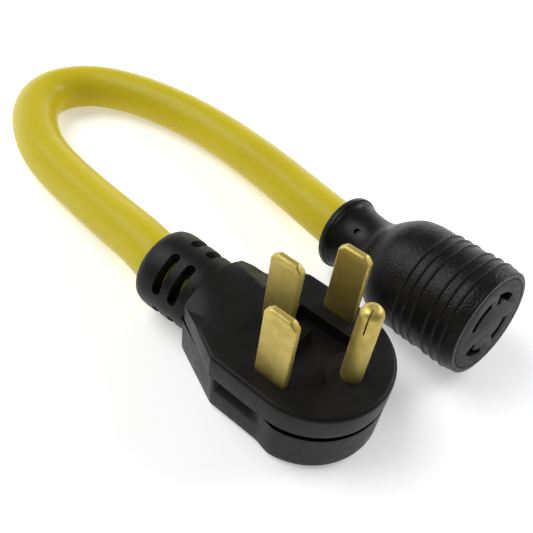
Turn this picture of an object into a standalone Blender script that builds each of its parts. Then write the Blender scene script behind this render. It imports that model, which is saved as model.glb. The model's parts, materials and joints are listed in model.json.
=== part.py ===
"""Four-prong right-angle plug joined by a short yellow cord to a four-slot locking connector.

World frame: metres, +Z up, floor at z = 0. The plug lies on its back with its blades pointing up; its
long axis runs along X with the ground pin at +X. Every piece of the plug is placed in the frame of the
empty "plug" (origin on the flat face, midway between the two hot blades) and every piece of the
connector in the frame of the empty "connector" (origin at the centre of its face, +Z out of the face).
"""
import math

import bmesh
import bpy
from mathutils import Matrix, Vector

MM = 0.001
GAP = 0.3 * MM                     # clearance kept between separate pieces

# ---- plug body, in the plug frame ----
PLUG_HEIGHT = 23.9 * MM
PLUG_AT = (8.78 * MM, -23.31 * MM, PLUG_HEIGHT)
PLUG_RADIUS = 22.0 * MM            # round end, also half the width
PLUG_FRONT = 25.6 * MM
SHOULDER_X = -15.2 * MM            # where the straight sides stop
PLUG_BACK = -34.0 * MM
PLUG_BACK_HALF = 13.3 * MM
UPPER_BACK = 0.8 * MM              # the upper slab is narrower at the back by this
LOWER_BACK = 1.2 * MM              # and the lower one longer by this
SHOULDER_ROUND = 1.5 * MM
BACK_ROUND = 1.2 * MM
FACE_RIM = 1.3 * MM                # fillet between face and side
BASE_RIM = 2.2 * MM                # fillet between side and back
GROOVE_TOP = -8.1 * MM             # parting groove between the two slabs
GROOVE_BOTTOM = -9.6 * MM
GROOVE_DEPTH = 1.5 * MM
LOWER_INSET = 0.1 * MM             # the lower slab is this much smaller all round
WAIST_DEPTH = 1.2 * MM             # and its sides come in this much more behind the round end
WAIST_FADE = (1.5 * MM, 8.0 * MM)
GRIP_BACK = -14.4 * MM             # finger grip scooped out of each side, under the upper slab
GRIP_FRONT = (-2.0 * MM, 3.0 * MM)
GRIP_RAMP = 1.2 * MM
GRIP_DEPTH = 2.4 * MM
GRIP_FLOOR = -11.2 * MM
GRIP_END = -15.8 * MM
SLOPE_X = -23.2 * MM               # behind this crease the face turns into the neck
BACK_TOP = 2.15 * MM                # height of the shoulder at its back, on the centreline
BACK_ARC = 21.8 * MM                # radius of its crown there
FAR_RIDGE = (7.4 * MM, 10.1 * MM)  # beyond this ridge the +Y side falls away: y at the crease, y at the back
RIDGE_ROUND = 0.9 * MM
FAR_FALL = 0.5
FAR_FRONT = -18.5 * MM

# ---- strain relief on the plug ----
NECK_Z = -10.0 * MM                # height of the cable axis
NECK_PROFILE = [                   # distance along X, outside radius
    (-20.0 * MM, 8.6 * MM),
    (-28.0 * MM, 10.2 * MM),
    (-34.0 * MM, 12.15 * MM),
    (-37.0 * MM, 12.5 * MM),
    (-50.3 * MM, 13.05 * MM),
    (-52.6 * MM, 12.9 * MM),
    (-54.2 * MM, 12.4 * MM),
    (-55.0 * MM, 11.7 * MM),
    (-55.2 * MM, 11.1 * MM),
]
RELIEF_RINGS = [                   # centre along X, slot width, radius of the slot's floor
    (-46.0 * MM, 3.0 * MM, 7.0 * MM),
    (-39.8 * MM, 3.2 * MM, 9.6 * MM),
]
RELIEF_SLOT_ARC = math.radians(65)

# ---- prongs ----
HOT_Y = 15.4 * MM
NEUTRAL_X = -10.4 * MM
BLADE_WIDTH = 9.9 * MM
BLADE_THICK = 2.45 * MM
BLADE_TOP = 24.4 * MM
BLADE_CHAMFER = 1.8 * MM
BLADE_EDGE = 0.4 * MM
BLADE_ROOT = -12.0 * MM
FOOT_LENGTH = 4.0 * MM
FOOT_THICK = 2.4 * MM
PIN_X = 14.8 * MM
PIN_RADIUS = 3.1 * MM
PIN_TOP = 26.4 * MM
PIN_NOSE = 2.6 * MM                # length of the rounded tip
PIN_NOSE_DEPTH = 2.3 * MM
PIN_SLIT = 0.5 * MM
PIN_SLIT_LENGTH = 7.0 * MM
PIN_SLIT_TURN = math.radians(12)

# ---- pockets inside the plug ----
RECESS_X = (-9.5 * MM, 11.5 * MM)
RECESS_HALF = 10.0 * MM
RECESS_DEPTH = 4.2 * MM
PAD_X = -1.64 * MM
PAD_HALF = 4.5 * MM
BOSS_RADIUS = 7.2 * MM
POCKET_RADIUS = 17.0 * MM
POCKET_BACK = -17.0 * MM
WIRING_SPACE_RADIUS = 15.1 * MM
WIRING_SPACE_BACK = -16.6 * MM
THROAT_X = -21.5 * MM              # middle of the passage from the bore to the wiring space
THROAT_HALF = (6.5 * MM, 12.0 * MM)
POCKET_TOP = -5.4 * MM
POCKET_BOTTOM = -12.4 * MM
WIRING_BOTTOM = -20.5 * MM
CARRIER_TOP = -5.8 * MM
CARRIER_BOTTOM = -9.3 * MM
CRIMP_Z = -15.4 * MM
CRIMP_RADIUS = 2.9 * MM

# ---- cable ----
CABLE_RADIUS = 8.5 * MM
BORE_RADIUS = 8.8 * MM
BORE_SPAN = (-60.0 * MM, -16.7 * MM)
JACKET_START = -34.0 * MM          # along X in the plug frame
JACKET_END = 38.0 * MM             # behind the connector face
LEAD_RADIUS = 2.2 * MM
LEAD_BACK = 1.0 * MM               # the leads start this far clear of the jacket's end
LEAD_SPREAD = 2.4 * MM             # leads leave the jacket at (+-, +-) this from its axis
CABLE_STEPS = 42
CABLE_ROUTE = [                    # cable axis on the floor between the two ends, world frame
    (-59.2 * MM, -20.8 * MM, 13.2 * MM),
    (-79.0 * MM, -17.8 * MM, 11.0 * MM),
    (-93.3 * MM, -15.6 * MM, 9.6 * MM),
    (-108.5 * MM, -13.3 * MM, 8.8 * MM),
    (-122.9 * MM, -10.1 * MM, 8.7 * MM),
    (-135.5 * MM, -4.7 * MM, 8.7 * MM),
    (-146.9 * MM, 3.2 * MM, 8.7 * MM),
    (-153.9 * MM, 12.7 * MM, 8.7 * MM),
    (-154.7 * MM, 22.7 * MM, 8.7 * MM),
    (-149.9 * MM, 32.5 * MM, 8.7 * MM),
    (-140.5 * MM, 39.6 * MM, 8.7 * MM),
    (-127.9 * MM, 44.6 * MM, 8.7 * MM),
    (-114.5 * MM, 47.5 * MM, 8.7 * MM),
    (-100.3 * MM, 48.7 * MM, 8.8 * MM),
    (-85.5 * MM, 48.2 * MM, 9.2 * MM),
    (-70.8 * MM, 46.3 * MM, 9.8 * MM),
    (-56.4 * MM, 43.4 * MM, 10.7 * MM),
    (-42.6 * MM, 39.9 * MM, 11.7 * MM),
    (-29.3 * MM, 36.1 * MM, 12.9 * MM),
]

# ---- connector, in its own frame: radius against distance behind the face ----
CONNECTOR_AT = (42.73 * MM, 22.39 * MM, 21.63 * MM)
CONNECTOR_YAW = math.radians(-10.0)
CONNECTOR_PITCH = math.radians(7.5)
FACE_EDGE = 0.5 * MM
FACE_STEP = 0.35 * MM              # the barrel starts this much smaller at its face
BODY_RADIUS = 17.8 * MM
RIB_HEIGHT = 0.45 * MM
RIB_HALF = 0.5 * MM
RIB_AT = [4.6 * MM, 7.6 * MM, 10.7 * MM, 15.8 * MM, 18.8 * MM, 21.8 * MM]
BULB_PROFILE = [
    (17.85 * MM, 24.0 * MM),
    (18.0 * MM, 26.5 * MM),
    (17.95 * MM, 29.0 * MM),
    (17.6 * MM, 32.0 * MM),
    (16.9 * MM, 34.2 * MM),
    (15.8 * MM, 36.2 * MM),
    (14.5 * MM, 38.2 * MM),
    (12.9 * MM, 40.2 * MM),
    (11.6 * MM, 42.0 * MM),
    (10.9 * MM, 44.0 * MM),
    (10.6 * MM, 46.5 * MM),
    (10.7 * MM, 49.0 * MM),
    (11.1 * MM, 52.0 * MM),
    (11.6 * MM, 54.0 * MM),
    (12.1 * MM, 55.3 * MM),
    (12.3 * MM, 55.5 * MM),
    (12.5 * MM, 56.7 * MM),
    (13.0 * MM, 57.0 * MM),
    (13.1 * MM, 58.2 * MM),
    (12.7 * MM, 59.1 * MM),
    (11.7 * MM, 59.5 * MM),
]
TAIL_END = 59.5 * MM
DISC_RADIUS = 15.6 * MM
DISC_THICK = 5.7 * MM
CARRIER_RADIUS = 13.0 * MM
CARRIER_SPAN = (6.0 * MM, 23.7 * MM)
WIRING_RADIUS = 12.6 * MM
WIRING_SPAN = (24.0 * MM, 31.0 * MM)
SLOT_ARCS = [                      # name, start and end angle, inner and outer radius, hook at which end
    ("x", 38, 86, 8.6 * MM, 11.2 * MM, 1),
    ("y", 105, 167, 7.9 * MM, 10.3 * MM, 0),
    ("w", 216, 267, 9.0 * MM, 11.4 * MM, -1),
    ("g", 298, 347, 7.9 * MM, 10.3 * MM, 0),
]
CONTACT_THICK = 0.9 * MM
CONTACT_SPAN = (6.8 * MM, 26.2 * MM)
DIMPLE_AT = 48.9 * MM
DIMPLE_TURN = math.radians(36)     # from the top towards -Y
DIMPLE_RADIUS = 1.1 * MM
DIMPLE_FLOOR = 9.7 * MM

ROUND_STEPS = 56
SIDE_STEPS = 14


# ---------------------------------------------------------------- helpers

def clear_scene():
    for obj in list(bpy.data.objects):
        bpy.data.objects.remove(obj, do_unlink=True)


def make_material(name, colour, roughness, metallic=0.0):
    mat = bpy.data.materials.new(name)
    mat.use_nodes = True
    shader = mat.node_tree.nodes["Principled BSDF"]
    shader.inputs["Base Color"].default_value = (*colour, 1.0)
    shader.inputs["Roughness"].default_value = roughness
    shader.inputs["Metallic"].default_value = metallic
    mat.diffuse_color = (*colour, 1.0)
    return mat


def make_empty(name, location, rotation=(0.0, 0.0, 0.0)):
    empty = bpy.data.objects.new(name, None)
    empty.location = location
    empty.rotation_euler = rotation
    bpy.context.scene.collection.objects.link(empty)
    return empty


def link_mesh(name, bm, mat=None, parent=None):
    """Turn a bmesh into a linked object with outward faces."""
    bmesh.ops.recalc_face_normals(bm, faces=bm.faces)
    mesh = bpy.data.meshes.new(name)
    bm.to_mesh(mesh)
    bm.free()
    obj = bpy.data.objects.new(name, mesh)
    bpy.context.scene.collection.objects.link(obj)
    if mat:
        mesh.materials.append(mat)
    if parent:
        obj.parent = parent
    return obj


def smooth(obj, angle=35.0):
    for face in obj.data.polygons:
        face.use_smooth = True
    obj.data.set_sharp_from_angle(angle=math.radians(angle))


def loft(rings):
    """Closed solid through rings of equal length, capped at both ends."""
    bm = bmesh.new()
    rows = [[bm.verts.new(point) for point in ring] for ring in rings]
    count = len(rows[0])
    for low, high in zip(rows, rows[1:]):
        for i in range(count):
            j = (i + 1) % count
            bm.faces.new((low[i], low[j], high[j], high[i]))
    bm.faces.new(list(reversed(rows[0])))
    bm.faces.new(rows[-1])
    return bm


def revolve(profile, steps=ROUND_STEPS):
    """Solid of revolution about Z. profile: (radius, z) points of a closed outline clear of the axis."""
    bm = bmesh.new()
    rows = []
    for k in range(steps):
        turn = 2.0 * math.pi * k / steps
        rows.append([bm.verts.new((r * math.cos(turn), r * math.sin(turn), z)) for r, z in profile])
    count = len(profile)
    for k in range(steps):
        here = rows[k]
        after = rows[(k + 1) % steps]
        for i in range(count):
            j = (i + 1) % count
            bm.faces.new((here[i], after[i], after[j], here[j]))
    return bm


def disc_stack(levels, steps=ROUND_STEPS):
    """Round solid about Z through (radius, z) levels, capped at both ends."""
    rings = []
    for r, z in levels:
        turns = [2.0 * math.pi * k / steps for k in range(steps)]
        rings.append([(r * math.cos(t), r * math.sin(t), z) for t in turns])
    return loft(rings)


def prism(outline, z_low, z_high):
    return loft([[(x, y, z) for x, y in outline] for z in (z_low, z_high)])


def along_x(bm, x, y, z):
    """Turn a solid built about Z so its axis runs along X, then move it to (x, y, z)."""
    turn = Matrix.Rotation(math.radians(90), 4, "Y")
    bm.transform(Matrix.Translation((x, y, z)) @ turn)
    return bm


def apply_boolean(target, cutter, operation="DIFFERENCE"):
    """Combine cutter into target for good, then drop the cutter."""
    modifier = target.modifiers.new("bool", "BOOLEAN")
    modifier.operation = operation
    modifier.solver = "EXACT"
    modifier.object = cutter
    bpy.context.view_layer.update()
    depsgraph = bpy.context.evaluated_depsgraph_get()
    result = bpy.data.meshes.new_from_object(target.evaluated_get(depsgraph))
    target.modifiers.clear()
    old = target.data
    target.data = result
    result.name = target.name
    bpy.data.meshes.remove(old)
    bpy.data.objects.remove(cutter, do_unlink=True)


def cut(target, bm):
    apply_boolean(target, link_mesh("cutter", bm))


def inset_corners(corners, amount):
    """Corners of a counter-clockwise convex outline after every edge moves in by amount."""
    moved = []
    count = len(corners)
    for i in range(count):
        here = Vector(corners[i])
        back = (here - Vector(corners[i - 1])).normalized()
        ahead = (Vector(corners[(i + 1) % count]) - here).normalized()
        n_back = Vector((-back.y, back.x))
        n_ahead = Vector((-ahead.y, ahead.x))
        moved.append(here + (n_back + n_ahead) * (amount / (1.0 + n_back.dot(n_ahead))))
    return moved


def round_corner(corner, before, after, radius, steps):
    """Points of the arc of the given radius tangent to both edges at a corner."""
    to_back = (before - corner).normalized()
    to_ahead = (after - corner).normalized()
    half = math.acos(max(-1.0, min(1.0, to_back.dot(to_ahead)))) / 2.0
    reach = radius / math.tan(half)
    centre = corner + (to_back + to_ahead).normalized() * (radius / math.sin(half))
    first = corner + to_back * reach - centre
    sweep = math.pi - 2.0 * half
    points = []
    for k in range(steps + 1):
        turn = sweep * k / steps
        c, s = math.cos(turn), math.sin(turn)
        points.append(centre + Vector((first.x * c - first.y * s, first.x * s + first.y * c)))
    return points


def smooth_path(points, steps):
    """Evenly spaced points on a Catmull-Rom curve through the given points."""
    pts = [Vector(p) for p in points]
    pts = [2 * pts[0] - pts[1]] + pts + [2 * pts[-1] - pts[-2]]
    fine = []
    for i in range(1, len(pts) - 2):
        p0, p1, p2, p3 = pts[i - 1:i + 3]
        for k in range(20):
            t = k / 20.0
            fine.append(0.5 * ((2 * p1) + (p2 - p0) * t + (2 * p0 - 5 * p1 + 4 * p2 - p3) * t * t
                               + (3 * p1 - p0 - 3 * p2 + p3) * t ** 3))
    fine.append(pts[-2])
    lengths = [0.0]
    for a, b in zip(fine, fine[1:]):
        lengths.append(lengths[-1] + (b - a).length)
    even = []
    j = 0
    for k in range(steps + 1):
        want = lengths[-1] * k / steps
        while j < len(fine) - 2 and lengths[j + 1] < want:
            j += 1
        span = lengths[j + 1] - lengths[j]
        even.append(fine[j].lerp(fine[j + 1], (want - lengths[j]) / span))
    return even


def tube(name, points, radius, mat, parent=None, sides=4):
    """Solid round cord along points, flat at both ends."""
    curve = bpy.data.curves.new(name, "CURVE")
    curve.dimensions = "3D"
    curve.bevel_depth = radius
    curve.bevel_resolution = sides
    curve.use_fill_caps = True
    spline = curve.splines.new("POLY")
    spline.points.add(len(points) - 1)
    for slot, point in zip(spline.points, points):
        slot.co = (*point, 1.0)
    curve.materials.append(mat)
    obj = bpy.data.objects.new(name, curve)
    bpy.context.scene.collection.objects.link(obj)
    if parent:
        obj.parent = parent
    return obj


# ---------------------------------------------------------------- plug

def plug_corners():
    return [
        (PLUG_FRONT, -PLUG_RADIUS),
        (PLUG_FRONT, PLUG_RADIUS),
        (SHOULDER_X, PLUG_RADIUS),
        (PLUG_BACK, PLUG_BACK_HALF),
        (PLUG_BACK, -PLUG_BACK_HALF),
        (SHOULDER_X, -PLUG_RADIUS),
    ]


def fade(value, start, end):
    """Smooth step from 0 at start to 1 at end, which may lie either way round."""
    s = max(0.0, min(1.0, (value - start) / (end - start)))
    return s * s * (3.0 - 2.0 * s)


def side_scoop(x, grip, waist):
    """How far the side comes in at x."""
    deep = grip * fade(x, GRIP_BACK, GRIP_BACK + GRIP_RAMP) * (1.0 - fade(x, *GRIP_FRONT))
    return deep + waist * fade(x, WAIST_FADE[1], WAIST_FADE[0])


def plug_outline(inset, grip, waist):
    """Outline of the plug body moved in by inset, with the sides scooped by grip and waist."""
    corners = inset_corners(plug_corners(), inset)
    radii = [PLUG_RADIUS - inset] * 2 + [SHOULDER_ROUND, BACK_ROUND, BACK_ROUND, SHOULDER_ROUND]
    steps = [12, 12, 3, 3, 3, 3]
    arcs = []
    for i, corner in enumerate(corners):
        before = corners[i - 1]
        after = corners[(i + 1) % len(corners)]
        arcs.append(round_corner(corner, before, after, radii[i], steps[i]))
    arcs[1] = arcs[1][1:]                      # the two front arcs share their middle point
    points = []
    for i, arc in enumerate(arcs):
        points.extend(arc)
        if i in (1, 5):                        # the straight sides carry the grip
            ahead = arcs[(i + 1) % len(arcs)][0]
            for k in range(1, SIDE_STEPS):
                points.append(arc[-1].lerp(ahead, k / SIDE_STEPS))
    longer, narrower = (LOWER_BACK, 0.0) if waist else (0.0, UPPER_BACK)
    moved = []
    for p in points:
        back = fade(p.x, SHOULDER_X, PLUG_BACK)
        side = p.y - math.copysign(side_scoop(p.x, grip, waist) + narrower * back, p.y)
        moved.append((p.x - longer * back, side))
    return moved


def quarter_fillet(radius):
    """(inset, drop) pairs of a quarter-round edge from its flat face to its side."""
    steps = 4
    pairs = []
    for k in range(steps + 1):
        turn = 0.5 * math.pi * k / steps
        pairs.append((radius * (1.0 - math.sin(turn)), radius * (1.0 - math.cos(turn))))
    return pairs


def plug_levels():
    """(height, inset, grip, waist) of each cross-section of the plug body, from its face down."""
    levels = [(-drop, inset, 0.0, 0.0) for inset, drop in quarter_fillet(FACE_RIM)]
    levels += [
        (GROOVE_TOP + 0.15 * MM, 0.0, 0.0, 0.0),
        (GROOVE_TOP, 0.15 * MM, 0.0, 0.0),
        (GROOVE_TOP - 0.02 * MM, GROOVE_DEPTH, GRIP_DEPTH, 0.5 * WAIST_DEPTH),
        (GROOVE_BOTTOM + 0.3 * MM, GROOVE_DEPTH, GRIP_DEPTH, 0.5 * WAIST_DEPTH),
        (GROOVE_BOTTOM, LOWER_INSET + 0.3 * MM, GRIP_DEPTH, WAIST_DEPTH),
        (GROOVE_BOTTOM - 0.3 * MM, LOWER_INSET, GRIP_DEPTH, WAIST_DEPTH),
    ]
    for k in range(5):
        z = GRIP_FLOOR + (GRIP_END - GRIP_FLOOR) * k / 4.0
        levels.append((z, LOWER_INSET, GRIP_DEPTH * fade(z, GRIP_END, GRIP_FLOOR), WAIST_DEPTH))
    for inset, drop in reversed(quarter_fillet(BASE_RIM)):
        levels.append((-PLUG_HEIGHT + drop, LOWER_INSET + inset, 0.0, WAIST_DEPTH))
    return levels


def make_plug_shell(mat):
    rings = []
    for z, inset, grip, waist in plug_levels():
        rings.append([(x, y, z) for x, y in plug_outline(inset, grip, waist)])
    return link_mesh("plug_overmold", loft(rings), mat)


def shoulder_height(x, y):
    """Height of the top behind the crease, where it turns from the flat face into the round neck."""
    share = max(0.0, (SLOPE_X - x) / (SLOPE_X - PLUG_BACK))
    crown = min(abs(y), PLUG_BACK_HALF)
    back = BACK_TOP - BACK_ARC + math.sqrt(BACK_ARC ** 2 - crown ** 2)
    past = y - (FAR_RIDGE[0] + (FAR_RIDGE[1] - FAR_RIDGE[0]) * min(share, 1.0))
    if abs(past) < RIDGE_ROUND:
        past = (past + RIDGE_ROUND) ** 2 / (4.0 * RIDGE_ROUND)
    fall = FAR_FALL * max(past, 0.0) * (1.0 - fade(share, 0.35, 1.0)) * fade(x, FAR_FRONT, SLOPE_X)
    return share * back - fall


def shoulder_stations(steps):
    """Cross-sections along X: from behind the body to the crease, then on to the end of the far cut."""
    start = PLUG_BACK - 2.0 * MM
    behind = [start + (SLOPE_X - start) * k / steps for k in range(steps)]
    ahead = [SLOPE_X + (FAR_FRONT - SLOPE_X) * k / (steps // 2) for k in range(steps // 2 + 1)]
    return behind + ahead


def shoulder_cutter():
    """Everything above the shoulder."""
    wide, top = PLUG_RADIUS + 4.0 * MM, 8.0 * MM
    steps = 26
    rings = []
    for x in shoulder_stations(8):
        lift = 0.01 * MM if x >= SLOPE_X else 0.0
        ring = [(x, wide, top), (x, -wide, top)]
        for j in range(steps + 1):
            y = wide * (2.0 * j / steps - 1.0)
            ring.append((x, y, shoulder_height(x, y) + lift))
        rings.append(ring)
    return loft(rings)


def shoulder_filler():
    """Block that the shoulder is cut from where it rises above the face towards the neck."""
    half = 10.0 * MM
    outline = [
        (PLUG_BACK + 0.1 * MM, -half),
        (SLOPE_X - 0.1 * MM, -half),
        (SLOPE_X - 0.1 * MM, half),
        (PLUG_BACK + 0.1 * MM, half),
    ]
    return prism(outline, -3.0 * MM, 4.0 * MM)


def neck_solid():
    rings = []
    for x, r in NECK_PROFILE:
        ring = []
        for k in range(ROUND_STEPS):
            turn = 2.0 * math.pi * (k + 0.5) / ROUND_STEPS
            ring.append((x, r * math.sin(turn), NECK_Z + r * math.cos(turn)))
        rings.append(ring)
    return loft(rings)


def relief_slot(x, width, inner, middle):
    """Cutter for one rounded slot round the neck, centred on the angle middle from the top."""
    outer = 18.0 * MM
    half_arc = RELIEF_SLOT_ARC / 2.0
    end_turn = 0.5 * width / (12.5 * MM)
    outline = []
    for k in range(9):                                    # one long edge
        outline.append((x - width / 2, middle + (half_arc - end_turn) * (k / 4.0 - 1.0)))
    for k in range(1, 6):                                 # rounded end
        turn = math.pi * k / 6.0
        outline.append((x - width / 2 * math.cos(turn),
                        middle + half_arc - end_turn + end_turn * math.sin(turn)))
    for k in range(9):
        outline.append((x + width / 2, middle + (half_arc - end_turn) * (1.0 - k / 4.0)))
    for k in range(1, 6):
        turn = math.pi * k / 6.0
        outline.append((x + width / 2 * math.cos(turn),
                        middle - half_arc + end_turn - end_turn * math.sin(turn)))
    rings = []
    for r in (inner, outer):
        rings.append([(px, r * math.sin(a), NECK_Z + r * math.cos(a)) for px, a in outline])
    return loft(rings)


def face_recess():
    """Sunken area of the face between the blades, leaving the neutral pad and the pin boss standing."""
    x0, x1 = RECESS_X
    rise = math.acos((PIN_X - x1) / BOSS_RADIUS)
    outline = [(x0, PAD_HALF), (PAD_X, PAD_HALF), (PAD_X, -PAD_HALF), (x0, -PAD_HALF),
               (x0, -RECESS_HALF), (x1, -RECESS_HALF)]
    for k in range(13):
        turn = math.pi + rise * (1.0 - k / 6.0)
        outline.append((PIN_X + BOSS_RADIUS * math.cos(turn), BOSS_RADIUS * math.sin(turn)))
    outline += [(x1, RECESS_HALF), (x0, RECESS_HALF)]
    return prism(outline, -RECESS_DEPTH, 5 * MM)


def rectangle(x, y, half_x, half_y):
    return [(x - half_x, y - half_y), (x + half_x, y - half_y),
            (x + half_x, y + half_y), (x - half_x, y + half_y)]


def prong_holes(z_low, z_high):
    """Cutters that leave GAP round every prong."""
    half_w = BLADE_WIDTH / 2 + GAP
    half_t = BLADE_THICK / 2 + GAP
    holes = [prism(rectangle(0.0, side * HOT_Y, half_w, half_t), z_low, z_high) for side in (-1, 1)]
    holes.append(prism(rectangle(NEUTRAL_X, 0.0, half_w, half_t), z_low, z_high))
    pin = disc_stack([(PIN_RADIUS + GAP, z_low), (PIN_RADIUS + GAP, z_high)], 32)
    pin.transform(Matrix.Translation((PIN_X, 0.0, 0.0)))
    holes.append(pin)
    return holes


def pocket_outline(radius, back):
    """Round-fronted outline inside the plug body, cut square at x = back."""
    points = []
    for k in range(25):
        turn = math.pi * (k / 24.0 - 0.5)
        points.append((PLUG_FRONT - PLUG_RADIUS + radius * math.cos(turn), radius * math.sin(turn)))
    return points + [(back, radius), (back, -radius)]


def make_plug_overmold(mat, plug):
    body = make_plug_shell(mat)
    apply_boolean(body, link_mesh("filler", shoulder_filler()), "UNION")
    cut(body, shoulder_cutter())
    apply_boolean(body, link_mesh("neck", neck_solid()), "UNION")
    bore = disc_stack([(BORE_RADIUS, x) for x in BORE_SPAN])
    cut(body, along_x(bore, 0.0, 0.0, NECK_Z))
    cut(body, face_recess())
    cut(body, prism(pocket_outline(POCKET_RADIUS, POCKET_BACK), POCKET_BOTTOM, POCKET_TOP))
    cut(body, prism(pocket_outline(WIRING_SPACE_RADIUS, WIRING_SPACE_BACK), WIRING_BOTTOM, POCKET_BOTTOM + 1 * MM))
    throat = rectangle(THROAT_X, 0.0, *THROAT_HALF)
    cut(body, prism(throat, WIRING_BOTTOM + 0.4 * MM, POCKET_BOTTOM + 0.6 * MM))
    for hole in prong_holes(-8.0 * MM, 5.0 * MM):
        cut(body, hole)
    for x, width, inner in RELIEF_RINGS:
        for quarter in range(4):
            cut(body, relief_slot(x, width, inner, math.radians(45 + 90 * quarter)))
    body.parent = plug
    smooth(body, 32)
    return body


def make_prong_carrier(mat, plug):
    bm = prism(pocket_outline(POCKET_RADIUS - GAP, POCKET_BACK + GAP), CARRIER_BOTTOM, CARRIER_TOP)
    carrier = link_mesh("prong_carrier", bm, mat)
    for hole in prong_holes(-15.0 * MM, 5.0 * MM):
        cut(carrier, hole)
    carrier.parent = plug
    smooth(carrier)
    return carrier


def make_blade(name, x, y, foot_side, mat, plug):
    """Flat blade with bevelled edges and a foot turned sideways under the carrier."""
    half_w, half_t = BLADE_WIDTH / 2, BLADE_THICK / 2
    tip = BLADE_CHAMFER

    def section(z, w, t):
        """Eight-sided cross-section: a rectangle with its four corners bevelled."""
        b = min(BLADE_EDGE, t * 0.5)
        return [(-w, -t + b, z), (-w + b, -t, z), (w - b, -t, z), (w, -t + b, z),
                (w, t - b, z), (w - b, t, z), (-w + b, t, z), (-w, t - b, z)]

    rings = [
        section(BLADE_ROOT, half_w, half_t),
        section(BLADE_TOP - tip, half_w, half_t),
        section(BLADE_TOP - 0.45 * MM, half_w - tip + 0.45 * MM, half_t),
        section(BLADE_TOP, half_w - tip - 0.1 * MM, half_t - 0.55 * MM),
    ]
    bm = loft(rings)
    bm.transform(Matrix.Translation((x, y, 0.0)))
    blade = link_mesh(name, bm, mat)
    reach = half_t + FOOT_LENGTH
    low, high = BLADE_ROOT + 0.001 * MM, BLADE_ROOT + FOOT_THICK
    foot = prism(rectangle(x, y + foot_side * reach / 2, half_w - 0.6 * MM, reach / 2), low, high)
    apply_boolean(blade, link_mesh("foot", foot), "UNION")
    blade.parent = plug
    return blade


def make_ground_pin(mat, plug):
    """Round pin with a bullet tip, rolled from sheet so a slit runs down its near side."""
    start = PIN_TOP - PIN_NOSE
    levels = [(PIN_RADIUS, BLADE_ROOT), (PIN_RADIUS, start)]
    for k in range(1, 7):
        turn = 0.5 * math.pi * k / 6.6
        radius = PIN_RADIUS - PIN_NOSE_DEPTH * (1.0 - math.cos(turn))
        levels.append((radius, start + PIN_NOSE * math.sin(turn)))
    levels[-1] = (levels[-1][0], PIN_TOP)
    pin = link_mesh("ground_pin", disc_stack(levels, 32), mat)
    slit = prism(rectangle(0.0, -2.4 * MM, PIN_SLIT / 2, 1.6 * MM), PIN_TOP - PIN_SLIT_LENGTH, PIN_TOP + 2 * MM)
    slit.transform(Matrix.Rotation(PIN_SLIT_TURN, 4, "Z"))
    cut(pin, slit)
    for vertex in pin.data.vertices:
        vertex.co.x += PIN_X
    pin.parent = plug
    smooth(pin)
    return pin


def make_crimp(name, x, y, mat, plug):
    """Crimp barrel under a prong, open towards the cable so the lead can meet it."""
    bm = along_x(disc_stack([(CRIMP_RADIUS - 0.4 * MM, -4 * MM), (CRIMP_RADIUS, -3.4 * MM),
                             (CRIMP_RADIUS, 3.4 * MM), (CRIMP_RADIUS - 0.4 * MM, 4 * MM)], 20), x, y, CRIMP_Z)
    crimp = link_mesh(name, bm, mat, plug)
    smooth(crimp)
    return crimp


def plug_lead_routes():
    """Where each insulated lead runs inside the plug, from the jacket to its crimp."""
    s = LEAD_SPREAD
    x0 = JACKET_START + LEAD_BACK
    up, down = NECK_Z + s, NECK_Z - s
    hot_y = 11.4 * MM
    low = CRIMP_Z
    return {
        "black": [(x0, -s, down), (-29 * MM, -3.4 * MM, -14.4 * MM), (-22.5 * MM, -6.6 * MM, low),
                  (-14 * MM, -10.6 * MM, low), (-5.3 * MM, -hot_y, low)],
        "red": [(x0, s, down), (-29 * MM, 3.4 * MM, -14.4 * MM), (-22.5 * MM, 6.6 * MM, low),
                (-14 * MM, 10.6 * MM, low), (-5.3 * MM, hot_y, low)],
        "white": [(x0, -s, up), (-29 * MM, -2.45 * MM, -9.4 * MM), (-23.5 * MM, -2.5 * MM, -12.0 * MM),
                  (-19 * MM, -2.8 * MM, -14.9 * MM), (-15.9 * MM, -3.0 * MM, low)],
        "green": [(x0, s, up), (-29 * MM, 2.45 * MM, -9.4 * MM), (-23.5 * MM, 2.5 * MM, -12.0 * MM),
                  (-19 * MM, 2.9 * MM, -14.9 * MM), (-13 * MM, 3.3 * MM, low), (-3 * MM, 3.0 * MM, low),
                  (8.5 * MM, 2.8 * MM, low)],
    }


def make_plug(mats, plug):
    make_plug_overmold(mats["pvc"], plug)
    make_prong_carrier(mats["nylon"], plug)
    make_blade("hot_blade_1", 0.0, -HOT_Y, 1, mats["brass"], plug)
    make_blade("hot_blade_2", 0.0, HOT_Y, -1, mats["brass"], plug)
    make_blade("neutral_blade", NEUTRAL_X, 0.0, -1, mats["brass"], plug)
    make_ground_pin(mats["brass"], plug)
    make_crimp("hot_crimp_1", -1.0 * MM, -11.4 * MM, mats["copper"], plug)
    make_crimp("hot_crimp_2", -1.0 * MM, 11.4 * MM, mats["copper"], plug)
    make_crimp("neutral_crimp", -11.6 * MM, -3.0 * MM, mats["copper"], plug)
    make_crimp("ground_crimp", 13.0 * MM, 2.8 * MM, mats["copper"], plug)
    for colour, route in plug_lead_routes().items():
        points = smooth_path(route, 14)
        tube("plug_lead_" + colour, points, LEAD_RADIUS, mats[colour], plug, 2)


# ---------------------------------------------------------------- connector

def rib_points(at):
    """Outside profile across one raised rib."""
    return [
        (BODY_RADIUS, -(at - RIB_HALF)),
        (BODY_RADIUS + 0.75 * RIB_HEIGHT, -(at - 0.25 * MM)),
        (BODY_RADIUS + RIB_HEIGHT, -at),
        (BODY_RADIUS + 0.75 * RIB_HEIGHT, -(at + 0.25 * MM)),
        (BODY_RADIUS, -(at + RIB_HALF)),
    ]


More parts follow.
